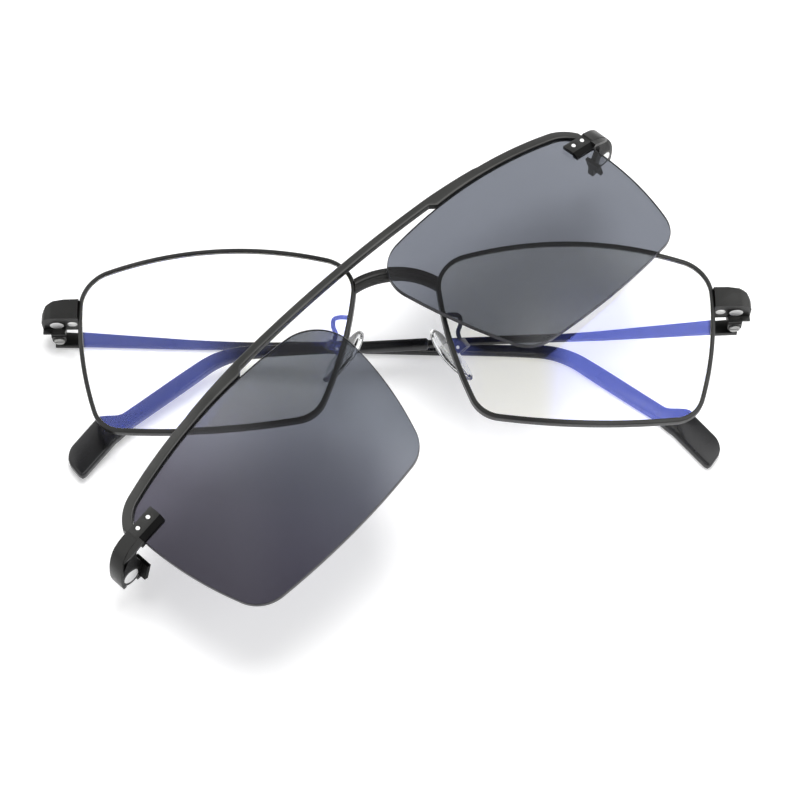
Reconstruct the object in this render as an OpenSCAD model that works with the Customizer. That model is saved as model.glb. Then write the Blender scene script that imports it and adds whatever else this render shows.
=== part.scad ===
// Full rim metal spectacles lying folded on their back, with a magnetic sun clip resting across them.
// Every piece is drawn as worn: x across the face, y from the lenses back to the ears, z up.
// lie_down() then lays the whole set on the outer face of the rear folded temple.

/* [Lens shape] */
// Distance between the two upper corner points of a lens
lens_top_w = 54.5; // [48:0.5:58]
// Distance between the two lower corner points
lens_bottom_w = 42.3; // [36:0.1:46]
// How far the lower edge sits towards the temple
lens_bottom_shift = 1.6; // [0:0.1:3]
// Height between the upper and the lower corner points
lens_corner_h = 32.2; // [28:0.1:38]
// Bow of the upper edge
top_bow = 3.9; // [2:0.1:5]
// Bow of the lower edge
bottom_bow = 2.1; // [1:0.1:4]
// Bow of the two side edges
side_bow = 1.8; // [1:0.1:3]
// Radius of the upper corners
upper_corner_r = 6.8; // [4:0.1:9]
// Radius of the lower corners
lower_corner_r = 6.4; // [4:0.1:9]
// Distance from the middle of the bridge to a lens centre
lens_centre_x = 35.7; // [33:0.1:38]
// Radius of the front curve of the lenses
base_r = 120; // [100:1:160]
// Turn of each lens round the face
wrap_a = 4.7; // [2:0.1:8]
// Thickness of a demo lens
lens_t = 1.0; // [0.8:0.1:1.3]

/* [Rim] */
// Width of the rim seen from the front
rim_w = 1.2; // [1.2:0.1:1.8]
// Depth of the rim from front to back
rim_d = 2.1; // [2.1:0.1:2.8]
// How far the lens edge lies inside the middle of the rim
lens_inset = 0.25; // [0.2:0.01:0.3]
// Clearance of the lens in its groove
groove_gap = 0.05; // [0.03:0.01:0.08]

/* [Bridge] */
// Height of the bridge bar
bridge_h = 2.3; // [1.8:0.1:3]
// Depth of the bridge bar
bridge_d = 1.8; // [1.4:0.1:2.4]
// Radius of the bridge arch to its middle line
bridge_r = 15; // [13:0.5:18]
// Height of the top of the arch's middle line above the lens centres
bridge_z = 13.2; // [12:0.1:14]
// Depth of the groove along the front of the bridge
bridge_groove = 0.3; // [0.1:0.05:0.5]

/* [End pieces] */
// How far the outer face of an end piece stands out past the lens corner
endpiece_reach = 7.95; // [7.5:0.05:9]
// Height of an end piece
endpiece_h = 4.3; // [3.8:0.1:5]
// Level of the underside of an end piece
endpiece_z = 6.7; // [6:0.1:8]
// Front face of an end piece behind the lens apex
endpiece_y = 4.4; // [3.8:0.1:5]
// Depth of an end piece
endpiece_d = 5.4; // [5.2:0.1:5.6]
// Height of the lip along the back of its underside
endpiece_lip = 1.0; // [0.5:0.1:1.4]
// Radius of a magnet
magnet_r = 1.4; // [1.2:0.05:1.4]
// Thickness of a magnet
magnet_t = 1.2; // [0.8:0.1:1.5]
// Middle of the magnets past the lens corner
magnet_out = 5.05; // [4.8:0.05:5.3]
// Magnets behind the lens apex
magnet_y = 7.8; // [7.2:0.1:7.8]
// Radius of a rim lock screw's shank
lock_r = 0.55; // [0.4:0.05:0.6]
// Lock screws past the lens corner
lock_out = 1.85; // [1.8:0.05:1.9]

/* [Hinges and temples] */
// Hinge pins past the lens corner
hinge_out = 4.85; // [4.7:0.05:5]
// Hinge pins behind the lens apex
hinge_y = 11; // [11:0.1:12]
// Level of the middle of the hinges
hinge_z = 6.5; // [6:0.1:7]
// Lean of the hinge pins towards the ears
axis_lean = 6; // [3:0.5:9]
// Sideways tilt of the right hinge
right_droop = 2.4; // [0:0.1:3]
// Sideways tilt of the left hinge
left_droop = -0.8; // [-1:0.1:1]
// Angle of the folded right temple behind the front
right_fold = -0.3; // [-1:0.1:0]
// Angle of the folded left temple, which lies behind the right one
left_fold = 6.5; // [6.5:0.5:9]
// Radius of a hinge screw's shank
pin_r = 0.58; // [0.45:0.01:0.6]
// Radius of a hinge knuckle
knuckle_r = 1.4; // [1.3:0.05:1.5]
// Height of a hinge and of the temple beside it
hinge_h = 3.2; // [3:0.1:3.6]
// Height of the middle knuckle
mid_knuckle_h = 1.3; // [1.1:0.1:1.5]
// Thickness of the metal temple
arm_t = 1.0; // [0.8:0.1:1.2]
// Outer face of a temple outboard of its hinge pin
arm_out = 3.1; // [3:0.1:3.4]
// Length from hinge pin to the start of the plastic tip
sleeve_s = 61.5; // [50:0.5:70]
// Height of the metal temple where it enters the tip
arm_end_h = 1.3; // [1.1:0.1:1.6]
// Length from hinge pin to the ear bend
bend_s = 97.5; // [94:0.5:102]
// Radius of the ear bend
bend_r = 16; // [14:0.5:25]
// Angle of the ear bend
bend_a = 36; // [30:1:42]
// Length from hinge pin to the end of the tip, along the temple
temple_l = 141; // [136:1:148]
// Thickness of the plastic tip
tip_t = 2.0; // [1.8:0.1:2.2]
// Height of the plastic tip at its start
tip_h = 2.1; // [2:0.1:2.6]
// Height of the plastic tip after the bend
tip_bend_h = 3.3; // [2.6:0.1:3.6]
// Extra height of the paddle at the end
paddle_rise = 2.6; // [1:0.1:3.5]
// How far the paddle's end sinks below the temple's line
paddle_drop = 2.6; // [0:0.1:3.5]

/* [Nose pads] */
// Length of a nose pad
pad_l = 13; // [11:0.5:14]
// Width of a nose pad
pad_w = 6.8; // [6:0.1:7.5]
// Thickness of a nose pad
pad_t = 1.7; // [1.4:0.1:2]
// Radius of a pad arm's wire
pad_wire_r = 0.45; // [0.35:0.05:0.5]
// Radius of the pin that a pad rocks on
pad_pin_r = 0.35; // [0.3:0.01:0.4]

/* [Sun clip] */
// How far a clip lens reaches past the middle of the rim
clip_grow = 1.2; // [1:0.1:1.5]
// Radius of the clip lenses' curve
clip_base_r = 140; // [120:1:180]
// Turn of each clip lens round the face
clip_wrap_a = 5.8; // [4:0.1:8]
// Thickness of a clip lens
clip_lens_t = 1.0; // [0.8:0.1:1.2]
// How much lower than the rim a clip lens's upper corner is at the temple
clip_shoulder_drop = 2.35; // [1.5:0.05:3]
// How much higher than the rim a clip lens's upper corner is at the nose
clip_nose_rise = 1.35; // [0.5:0.05:2]
// Bow of a clip lens's top edge
clip_top_bow = 2.5; // [2:0.1:4]
// Radius of a clip lens's upper corner at the temple
clip_shoulder_r = 5.2; // [4:0.1:8]
// Width of the clip's bar along the lenses
bar_w = 2.2; // [1.8:0.1:2.4]
// Width of the bar over the nose
bar_mid_w = 1.75; // [1.3:0.05:1.8]
// Depth of the bar from front to back
bar_d = 1.8; // [1.6:0.1:2.2]
// Rise of the bar over the nose above the lenses
bar_rise = 2.45; // [1.5:0.05:3]
// Radius of the clip's magnets
clip_magnet_r = 1.75; // [1.5:0.05:1.9]
// Spin of the resting clip against the frame
clip_spin = 45.5; // [40:0.5:50]
// Tilt of the resting clip against the frame
clip_tilt = 9; // [9:0.5:9]
// Height of the resting clip's middle in front of the frame
clip_rest_y = 5.5; // [5.5:0.1:6]

/* [Hidden] */
$fn = 48;
// Facets of the large spheres and extrusion steps of the outlines
sphere_fn = 360;
corner_steps = 6;
side_steps = 8;
tiny = 0.01;
// Running clearance of a pin in its bore, and seats between joined pieces
pin_gap = 0.04;
seat_gap = 0.02;
ear_gap = 0.06;

// Corner points of a lens, counter clockwise from the lower temple side
corner_dz = (bottom_bow - top_bow) / 2;
corners = [
    [lens_bottom_shift + lens_bottom_w / 2, corner_dz - lens_corner_h / 2],
    [lens_top_w / 2, corner_dz + lens_corner_h / 2],
    [-lens_top_w / 2, corner_dz + lens_corner_h / 2],
    [lens_bottom_shift - lens_bottom_w / 2, corner_dz - lens_corner_h / 2],
];
bows = [side_bow, top_bow, side_bow, bottom_bow];
corner_rs = [lower_corner_r, upper_corner_r, upper_corner_r, lower_corner_r];
// A clip lens starts from the same corners, each moved a little
clip_moves = [[-0.4, -0.4], [-0.45, -clip_shoulder_drop], [-0.25, clip_nose_rise], [0, -0.3]];
clip_corners = [for (i = [0:3]) corners[i] + clip_moves[i]];
clip_bows = [side_bow, clip_top_bow, side_bow, bottom_bow - 0.2];
clip_rs = [lower_corner_r, clip_shoulder_r, upper_corner_r + 0.7, lower_corner_r];

// Groove in the rim, from the lens that it holds
groove_n = -lens_inset + groove_gap;
groove_half = lens_t / 2 + groove_gap;

// Places across the face that follow the lens
lens_corner_x = lens_centre_x + lens_top_w / 2;
endpiece_x = lens_corner_x + endpiece_reach;
magnet_x = lens_corner_x + magnet_out;
lock_x = lens_corner_x + lock_out;
hinge_x = lens_corner_x + hinge_out;
// End pieces start inside the rim and are cut back to it
endpiece_root_x = lens_corner_x - 7.25;

// Rim lock screw, level with the magnet
lock_y = magnet_y - 0.6;
lock_head_r = 1.0;
screw_head_t = 0.45;

// Leg behind the magnet
leg_t = endpiece_y + endpiece_d - magnet_y - magnet_r - 0.1;

// Temple mid plane and faces beside the pin
arm_mid = arm_out - arm_t / 2;
tip_face = arm_mid + tip_t / 2;
arm_start = -0.8;
// Length along which an arm gets thinner, and how far its middle bows down
arm_taper_l = 38;
arm_bow = 0.56;
knuckle_gap = 0.1;
core_h = 1.0;
core_end = temple_l - 14;
paddle_s = temple_l - 15;
paddle_turn = 5;
tip_end_r = 3;
temple_step = 2.5;
// The spot on the rear temple that is the part's origin
rest_s = hinge_x;

// Nose side of the rim, level with the foot of the pad's wire
pad_foot_z = 4.4;
nose_edge = bow_circle(corners[2], corners[3], side_bow);
pad_foot_u = nose_edge[0][0] - sqrt(pow(nose_edge[1], 2) - pow(pad_foot_z - nose_edge[0][1], 2));
pad_foot_x = lens_centre_x + pad_foot_u * cos(wrap_a);
// Pad frame: pad centre, and the directions of its length, its face and its width
pad_c = [pad_foot_x + 1.1, 8.4, -1.3];
pad_a = unit([0.58, 0.15, -0.80]);
pad_n = unit(cross(cross(pad_a, [-0.72, 0.60, -0.41]), pad_a));
pad_b = cross(pad_n, pad_a);
pad_pin_back = 2.7;
pad_dome_r = 16;
pad_tongue_t = 1.0;
pad_tongue_r = 0.8;
pad_box_gap = 0.1;
pad_box_wall = 0.55;
pad_box_half = 1.0;
// Wire from the rim to the pad box, right side
pad_wire = concat([for (p = [[-0.1, 1.4, pad_foot_z], [0.3, 2.7, 4.7], [1.7, 3.6, 5.2], [3, 4.7, 5.3],
    [3.2, 5.7, 4.2], [2.7, 6.3, 2.8], [3, 6.5, 1.4]]) p + [pad_foot_x, 0, 0]],
    [pad_c - pad_n * (pad_pin_back + 0.9)]);
// Direction across the wire's bends, for turning its section
pad_wire_side = [0, 0.85, 0.5];

// Clip details, in the clip's own worn frame
clip_centre_x = lens_centre_x + 0.2;
bar_join_u = 4;
bar_step_u = -8.6;
bar_front = 0.3;
bar_soft = 0.35;
plate_in = lens_corner_x - 4.55;
plate_out = lens_corner_x + 2.3;
plate_z = 9.1;
plate_h = 2.8;
plate_t = 0.9;
rivet_r = 0.45;
rivet_z = plate_z + 1.55;
rivet_xs = [lens_corner_x - 2.75, lens_corner_x - 0.05];
// The worn clip stands ahead of the frame and a little lower, so its magnets are behind and above
clip_ahead = 5.5;
clip_drop = 2.7;
clip_magnet_y = magnet_y + clip_ahead;
lug_top = endpiece_z + clip_drop;
lug_t = 1.2;
lug_r = 2.35;
band_t = 0.8;
// Band from the plate round to the lug, as [x, y, z of its middle, height]
band_path = [for (p = [[1.4, 5.0, 10.5, 2.75], [2.2, 5.4, 10.5, 2.75], [3.7, 6.1, 10.5, 2.8],
    [5.3, 7.4, 10.35, 3.0], [6.5, 9.4, 10.0, 3.2], [7.05, 11.6, 9.8, 3.2], [7.15, 13.8, 9.8, 3.2],
    [6.85, 15.6, 9.8, 3.2]]) [p[0] + lens_corner_x, p[1], p[2], p[3]]];

// Small vector and blend functions
function unit(v) = v / norm(v);
function mix(a, b, t) = a + (b - a) * t;
function clamp01(t) = max(0, min(1, t));
function ease(t) = let (c = clamp01(t)) c * c * (3 - 2 * c);
function turn_between(a, b) = let (d = b - a) d > 180 ? d - 360 : d < -180 ? d + 360 : d;

// Circle through two points with a bow between them, as [centre, radius]
function bow_circle(a, b, bow) =
    let (d = b - a, t = unit(d), r = (d * d / 4 + bow * bow) / (2 * bow))
    [(a + b) / 2 + [t[1], -t[0]] * (bow - r), r];

// Centre of a corner arc that touches two edge circles from inside
function corner_centre(c1, c2, r, near) =
    let (a1 = c1[1] - r, a2 = c2[1] - r, d = c2[0] - c1[0], len = norm(d), e = d / len,
        x = (a1 * a1 - a2 * a2 + len * len) / (2 * len), y = sqrt(max(0, a1 * a1 - x * x)),
        f = [-e[1], e[0]], p = c1[0] + e * x + f * y, q = c1[0] + e * x - f * y)
    norm(p - near) < norm(q - near) ? p : q;

// A rounded outline, as [circles of its edges, centres of its corners, radii of its corners]
function make_form(points, bows, rs) =
    let (edges = [for (i = [0:3]) bow_circle(points[i], points[(i + 1) % 4], bows[i])])
    [edges, [for (i = [0:3]) corner_centre(edges[(i + 3) % 4], edges[i], rs[i], points[i])], rs];
rim_form = make_form(corners, bows, corner_rs);
clip_form = make_form(clip_corners, clip_bows, clip_rs);

function angle_of(v) = atan2(v[1], v[0]);
function on_circle(c, r, a) = c + r * [cos(a), sin(a)];

// Points of one corner arc and of one edge arc of a form, with the outline grown by g
function corner_arc(form, i, g) =
    let (k = form[1][i], a = angle_of(k - form[0][(i + 3) % 4][0]), b = angle_of(k - form[0][i][0]),
        d = turn_between(a, b))
    [for (j = [0:corner_steps]) on_circle(k, form[2][i] + g, a + d * j / corner_steps)];
function edge_arc(form, i, g) =
    let (c = form[0][i], a = angle_of(form[1][i] - c[0]), b = angle_of(form[1][(i + 1) % 4] - c[0]),
        d = turn_between(a, b))
    [for (j = [1:side_steps - 1]) on_circle(c[0], c[1] + g, a + d * j / side_steps)];
function outline(form, g) = [for (i = [0:3]) each concat(corner_arc(form, i, g), edge_arc(form, i, g))];

function sag(r, p) = r - sqrt(r * r - p[0] * p[0] - p[1] * p[1]);

// A solid from rings of points: closed_loop joins the last ring to the first
module skin(rings, closed_loop) {
    n = len(rings);
    m = len(rings[0]);
    spans = closed_loop ? n : n - 1;
    sides = [for (i = [0:spans - 1], j = [0:m - 1])
        let (k = (j + 1) % m, next = ((i + 1) % n) * m, a = i * m + j, b = i * m + k, c = next + j, d = next + k)
        each [[a, c, b], [b, c, d]]];
    caps = closed_loop ? [] : [[for (j = [0:m - 1]) j], [for (j = [m - 1:-1:0]) (n - 1) * m + j]];
    polyhedron([for (r = rings) each r], concat(sides, caps));
}

// Sides: 1 is the right of the set as seen from the front, -1 the left
module on_side(side) {
    mirror([side < 0 ? 1 : 0, 0, 0]) children();
}

module at_lens(side, centre_x, turn) {
    on_side(side) translate([centre_x, 0, 0]) rotate([0, 0, turn]) children();
}

// A prism of the lens outline along the lens axis
module outline_prism(form, g, front, back) {
    translate([0, back, 0]) rotate([90, 0, 0]) linear_extrude(front + back) polygon(outline(form, g));
}

module curved_lens(form, g, r, t, depth) {
    difference() {
        intersection() {
            outline_prism(form, g, 3, depth);
            translate([0, r, 0]) sphere(r + t / 2, $fn = sphere_fn);
        }
        translate([0, r, 0]) sphere(r - t / 2, $fn = sphere_fn);
    }
}

// The hinge frame of the left side: x along the folded temple, y outwards, z along the pin
module left_hinge(droop) {
    translate([-hinge_x, hinge_y, hinge_z]) rotate([0, droop, 0]) rotate([-axis_lean, 0, 0]) children();
}

module at_hinge(side) {
    on_side(-side) left_hinge(side > 0 ? right_droop : left_droop) children();
}

module folded(side) {
    at_hinge(side) rotate([0, 0, side > 0 ? right_fold : left_fold]) children();
}

// Lays the set down on the outer face of the left temple's tip
module lie_down() {
    rotate([-90, 0, 0])
        translate([-rest_s, -tip_face, 0])
            rotate([0, 0, -left_fold])
                rotate([axis_lean, 0, 0])
                    rotate([0, -left_droop, 0])
                        translate([hinge_x, -hinge_y, -hinge_z]) children();
}

// Rim and demo lens
rim_section = [[rim_w / 2, -rim_d / 2 + 0.3], [rim_w / 2, rim_d / 2 - 0.3], [rim_w / 4, rim_d / 2],
    [-rim_w / 2, rim_d / 2], [-rim_w / 2, groove_half + 0.05], [groove_n, groove_half],
    [groove_n, -groove_half], [-rim_w / 2, -groove_half - 0.05], [-rim_w / 2, -rim_d / 2],
    [rim_w / 4, -rim_d / 2]];
rim_lines = [for (s = rim_section) outline(rim_form, s[0])];

module rim(side) {
    rings = [for (i = [0:len(rim_lines[0]) - 1]) [for (j = [0:len(rim_section) - 1])
        let (p = rim_lines[j][i]) [p[0], sag(base_r, p) + rim_section[j][1], p[1]]]];
    color("#32322f") at_lens(side, lens_centre_x, wrap_a) skin(rings, true);
}

module demo_lens(side) {
    color("#dfe4f5", 0.35)
        at_lens(side, lens_centre_x, wrap_a) curved_lens(rim_form, -lens_inset, base_r, lens_t, 12);
}

// The space that a rim takes, for pieces joined to its outside
module rim_space() {
    for (side = [-1, 1])
        at_lens(side, lens_centre_x, wrap_a) outline_prism(rim_form, rim_w / 2 + seat_gap, 20, 40);
}

module bridge() {
    half_a = asin((lens_centre_x - lens_top_w / 2 + rim_w) / bridge_r);
    color("#32322f") difference() {
        translate([0, 0.7, bridge_z - bridge_r]) rotate([90, 0, 0]) rotate([0, 0, 90 - half_a])
            rotate_extrude(angle = 2 * half_a, $fn = 180) translate([bridge_r, 0]) difference() {
                square([bridge_h, bridge_d], center = true);
                translate([0, bridge_d / 2]) rotate(45) square(bridge_groove * sqrt(2), center = true);
            }
        rim_space();
    }
}

// Outline of an end piece from the front, and its plan from above, right side
endpiece_front = [[endpiece_root_x, endpiece_z], [endpiece_x, endpiece_z],
    [endpiece_x - 0.1, endpiece_z + 0.35 * endpiece_h], [endpiece_x - 0.9, endpiece_z + 0.7 * endpiece_h],
    [endpiece_x - 2.4, endpiece_z + 0.9 * endpiece_h], [endpiece_x - 4.6, endpiece_z + 0.98 * endpiece_h],
    [endpiece_root_x, endpiece_z + endpiece_h]];
endpiece_edge_r = 2.2;

module endpiece_body() {
    back = endpiece_y + endpiece_d;
    intersection() {
        translate([0, back + 3, 0]) rotate([90, 0, 0]) linear_extrude(endpiece_d + 6) polygon(endpiece_front);
        translate([0, 0, endpiece_z - 5]) linear_extrude(20) union() {
            translate([endpiece_root_x, endpiece_y])
                square([endpiece_x - endpiece_edge_r - endpiece_root_x, endpiece_d]);
            translate([endpiece_x - endpiece_edge_r - tiny, endpiece_y + endpiece_edge_r])
                square([endpiece_edge_r + tiny, endpiece_d - endpiece_edge_r]);
            translate([endpiece_x - endpiece_edge_r, endpiece_y + endpiece_edge_r]) circle(endpiece_edge_r);
        }
    }
}

module hinge_ears() {
    ear_h = (hinge_h - mid_knuckle_h) / 2 - ear_gap;
    for (z = [-hinge_h / 2, hinge_h / 2 - ear_h]) translate([0, 0, z]) {
        cylinder(h = ear_h, r = knuckle_r);
        translate([-knuckle_r, -hinge_y + endpiece_y + endpiece_d - 1, 0])
            cube([2 * knuckle_r, hinge_y - endpiece_y - endpiece_d + 1, ear_h]);
    }
}

module endpiece(side) {
    color("#2c2c2a") difference() {
        union() {
            on_side(side) {
                endpiece_body();
                // Lip along the back of the underside, and the leg in it that carries the lower ear
                translate([hinge_x - knuckle_r, endpiece_y + endpiece_d - leg_t, endpiece_z - endpiece_lip])
                    cube([endpiece_x - hinge_x + knuckle_r, leg_t, endpiece_lip + tiny]);
                translate([hinge_x - knuckle_r, endpiece_y + endpiece_d - leg_t, hinge_z - hinge_h / 2])
                    cube([2 * knuckle_r, leg_t, hinge_h]);
            }
            at_hinge(side) hinge_ears();
        }
        rim_space();
        on_side(side) {
            translate([magnet_x, magnet_y, endpiece_z - 1])
                cylinder(h = magnet_t + 1 + seat_gap, r = magnet_r + seat_gap);
            translate([lock_x, lock_y, endpiece_z - 1]) cylinder(h = endpiece_h, r = lock_r + seat_gap);
            translate([lock_x, lock_y, endpiece_z - 1])
                cylinder(h = 1 + screw_head_t, r = lock_head_r + seat_gap);
        }
        at_hinge(side) {
            translate([0, 0, -hinge_h]) cylinder(h = 2 * hinge_h, r = pin_r + pin_gap);
            translate([0, 0, -mid_knuckle_h / 2 - ear_gap])
                cylinder(h = mid_knuckle_h + 2 * ear_gap, r = knuckle_r + knuckle_gap);
            translate([0, 0, -hinge_h / 2 - screw_head_t - 2]) cylinder(h = 2 + screw_head_t, r = 1.2);
        }
    }
}

module slotted_screw(shank_r, head_r, length) {
    difference() {
        union() {
            translate([0, 0, -tiny]) cylinder(h = length + tiny, r = shank_r);
            translate([0, 0, -screw_head_t]) cylinder(h = screw_head_t, r = head_r);
        }
        translate([-head_r - 1, -0.15, -screw_head_t - 1]) cube([2 * head_r + 2, 0.3, 1.2]);
    }
}

module lock_screw(side) {
    color("#c9cac8") on_side(side) translate([lock_x, lock_y, endpiece_z + screw_head_t])
        slotted_screw(lock_r, lock_head_r, endpiece_h - 1 - screw_head_t - 0.1);
}

module hinge_screw(side) {
    color("#c9cac8") at_hinge(side) translate([0, 0, -hinge_h / 2])
        slotted_screw(pin_r, 1.05, hinge_h);
}

module frame_magnet(side) {
    color("#d8d8d8") on_side(side) translate([magnet_x, magnet_y, endpiece_z])
        cylinder(h = magnet_t, r = magnet_r);
}

// Temple: middle line bent down behind the ear, as [along, up, slope]
bend_len = bend_r * bend_a * PI / 180;
function temple_at(l) =
    l < bend_s ? [l, 0, 0] :
    l < bend_s + bend_len ? let (a = (l - bend_s) / bend_r * 180 / PI)
        [bend_s + bend_r * sin(a), bend_r * (cos(a) - 1), a] :
    let (e = l - bend_s - bend_len)
        [bend_s + bend_r * sin(bend_a) + e * cos(bend_a), bend_r * (cos(bend_a) - 1) - e * sin(bend_a), bend_a];
function beside(l, d) = let (p = temple_at(l)) [p[0] + d * sin(p[2]), p[1] + d * cos(p[2])];

function arm_half(l) = mix(arm_end_h, hinge_h, pow(1 - clamp01(l / arm_taper_l), 1.2)) / 2;
function arm_sag(l) = arm_bow * pow(sin(180 * clamp01(l / sleeve_s)), 2);
function tip_half(l) = mix(tip_h, tip_bend_h, ease((l - bend_s + 8) / 24)) / 2;
function tip_round(l, r, cut) = let (q = clamp01((l - temple_l + r) / r)) sqrt(1 - cut * q * q);
function tip_sag(l) = paddle_drop * clamp01((l - paddle_s - paddle_turn) / (temple_l - paddle_s - paddle_turn));
function paddle(l) = ease((l - paddle_s) / paddle_turn);
function tip_up(l) = (tip_half(l) + paddle_rise * paddle(l)) * tip_round(l, tip_end_r, 0.72) - tip_sag(l);
function tip_down(l) = (tip_half(l) + 0.5 * paddle(l)) * tip_round(l, tip_end_r / 2, 0.5) + tip_sag(l);
function stations(a, b, step) = let (n = ceil((b - a) / step)) [for (i = [0:n]) a + (b - a) * i / n];
function band(ls, up, down) = concat([for (i = [0:len(ls) - 1]) beside(ls[i], up[i])],
    [for (i = [len(ls) - 1:-1:0]) beside(ls[i], -down[i])]);

arm_ls = concat(stations(arm_start, sleeve_s - tiny, 4), stations(sleeve_s, core_end, temple_step));
function arm_edge(l) = l < sleeve_s ? arm_half(max(l, 0)) : core_h / 2;
tip_ls = concat(stations(sleeve_s, temple_l - tip_end_r - 0.5, temple_step),
    stations(temple_l - tip_end_r, temple_l, 0.6));
core_ls = stations(sleeve_s - 1, core_end + 0.1, temple_step);
core_halves = [for (l = core_ls) core_h / 2 + seat_gap];

// Extrudes an outline across the temple's thickness, about its mid plane
module across_temple(t) {
    translate([0, arm_mid + t / 2, 0]) rotate([90, 0, 0]) linear_extrude(t) children();
}

module temple_arm(side) {
    tops = [for (l = arm_ls) arm_edge(l) - arm_sag(l)];
    bottoms = [for (l = arm_ls) arm_edge(l) + arm_sag(l)];
    color("#32322f") folded(side) difference() {
        union() {
            across_temple(arm_t) polygon(band(arm_ls, tops, bottoms));
            translate([0, 0, -mid_knuckle_h / 2]) cylinder(h = mid_knuckle_h, r = knuckle_r);
            translate([-0.75, 0, -mid_knuckle_h / 2]) cube([1.5, arm_out - arm_t + tiny, mid_knuckle_h]);
        }
        translate([0, 0, -hinge_h]) cylinder(h = 2 * hinge_h, r = pin_r + pin_gap);
    }
}

module temple_tip(side) {
    color("#1b1b1c") folded(side) difference() {
        across_temple(tip_t)
            polygon(band(tip_ls, [for (l = tip_ls) tip_up(l)], [for (l = tip_ls) tip_down(l)]));
        across_temple(arm_t + 2 * seat_gap) polygon(band(core_ls, core_halves, core_halves));
    }
}

// Nose pads: the pad frame has x along the pad, y across it and z out of its face
module at_pad(side) {
    m = [[pad_a[0], pad_b[0], pad_n[0]], [pad_a[1], pad_b[1], pad_n[1]], [pad_a[2], pad_b[2], pad_n[2]]];
    tilt = acos(pad_n[2]);
    head = atan2(pad_n[1], pad_n[0]);
    // Roll that brings the turned x axis onto the pad's length
    flat_x = [cos(head) * cos(tilt), sin(head) * cos(tilt), -sin(tilt)];
    flat_y = [-sin(head), cos(head), 0];
    roll = atan2(pad_a * flat_y, pad_a * flat_x);
    on_side(side) translate(pad_c) rotate([0, 0, head]) rotate([0, tilt, 0]) rotate([0, 0, roll]) children();
}

function oval(l, w, n) = [for (i = [0:n - 1]) let (a = 360 * i / n)
    [l / 2 * cos(a), w / 2 * sin(a) * (1 - 0.12 * cos(a))]];

module nose_pad(side) {
    color("#e6e9ea", 0.5) at_pad(side) difference() {
        union() {
            intersection() {
                translate([0, 0, -pad_t / 2]) linear_extrude(pad_t) polygon(oval(pad_l, pad_w, 36));
                translate([0, 0, pad_t / 2 - pad_dome_r]) sphere(pad_dome_r, $fn = 120);
            }
            translate([0, pad_tongue_t / 2, -pad_pin_back]) rotate([90, 0, 0])
                cylinder(h = pad_tongue_t, r = pad_tongue_r);
            translate([-pad_tongue_r, -pad_tongue_t / 2, -pad_pin_back])
                cube([2 * pad_tongue_r, pad_tongue_t, pad_pin_back - pad_t / 2 + 0.3]);
        }
        translate([0, 2, -pad_pin_back]) rotate([90, 0, 0]) cylinder(h = 4, r = pad_pin_r + pin_gap);
    }
}

module pad_pin(side) {
    length = pad_tongue_t + 2 * pad_box_gap + 2 * pad_box_wall;
    color("#c9cac8") at_pad(side) translate([0, length / 2, -pad_pin_back]) rotate([90, 0, 0])
        cylinder(h = length, r = pad_pin_r);
}

// A smooth path through points, n steps to a span
function smooth_at(p, i, t) =
    let (a = p[max(i - 1, 0)], b = p[i], c = p[i + 1], d = p[min(i + 2, len(p) - 1)])
    0.5 * (2 * b + (c - a) * t + (2 * a - 5 * b + 4 * c - d) * t * t + (3 * b - a - 3 * c + d) * t * t * t);
function smooth(p, n) =
    concat([for (i = [0:len(p) - 2], j = [0:n - 1]) smooth_at(p, i, j / n)], [p[len(p) - 1]]);

// A round wire through points
module wire(points, r, side) {
    path = smooth(points, 4);
    last = len(path) - 1;
    skin([for (i = [0:last])
        let (t = unit(path[min(i + 1, last)] - path[max(i - 1, 0)]), u = unit(cross(t, side)), v = cross(t, u))
        [for (a = [0:30:330]) path[i] + r * (cos(a) * u + sin(a) * v)]], false);
}

module pad_arm(side) {
    width = pad_tongue_t + 2 * pad_box_gap + 2 * pad_box_wall;
    slot = pad_tongue_t + 2 * pad_box_gap;
    color("#32322f") difference() {
        union() {
            on_side(side) wire(pad_wire, pad_wire_r, pad_wire_side);
            at_pad(side) translate([-pad_box_half, -width / 2, -pad_pin_back - pad_box_half - 0.5])
                cube([2 * pad_box_half, width, 2 * pad_box_half + 0.3]);
        }
        at_pad(side) {
            translate([-pad_box_half - 1, -slot / 2, -pad_pin_back - 0.95])
                cube([2 * pad_box_half + 2, slot, 5]);
            translate([0, width, -pad_pin_back]) rotate([90, 0, 0]) cylinder(h = 2 * width, r = pad_pin_r + seat_gap);
        }
        // Foot of the wire against the back of the rim
        at_lens(side, lens_centre_x, wrap_a)
            curved_lens(rim_form, rim_w / 2, base_r, rim_d + 2 * seat_gap, 14);
    }
}

// The clip is drawn as worn on the frame, then laid across it
module clip_at_rest() {
    translate([2.5, -clip_rest_y, -4.7]) rotate([0, 0, 0.3]) rotate([-clip_tilt, 0, 0]) rotate([0, -clip_spin, 0])
        children();
}

function clip_xyz(p, dy) = let (s = sag(clip_base_r, p))
    [clip_centre_x + p[0] * cos(clip_wrap_a) - s * sin(clip_wrap_a),
        p[0] * sin(clip_wrap_a) + s * cos(clip_wrap_a) + dy, p[1]];

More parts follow.
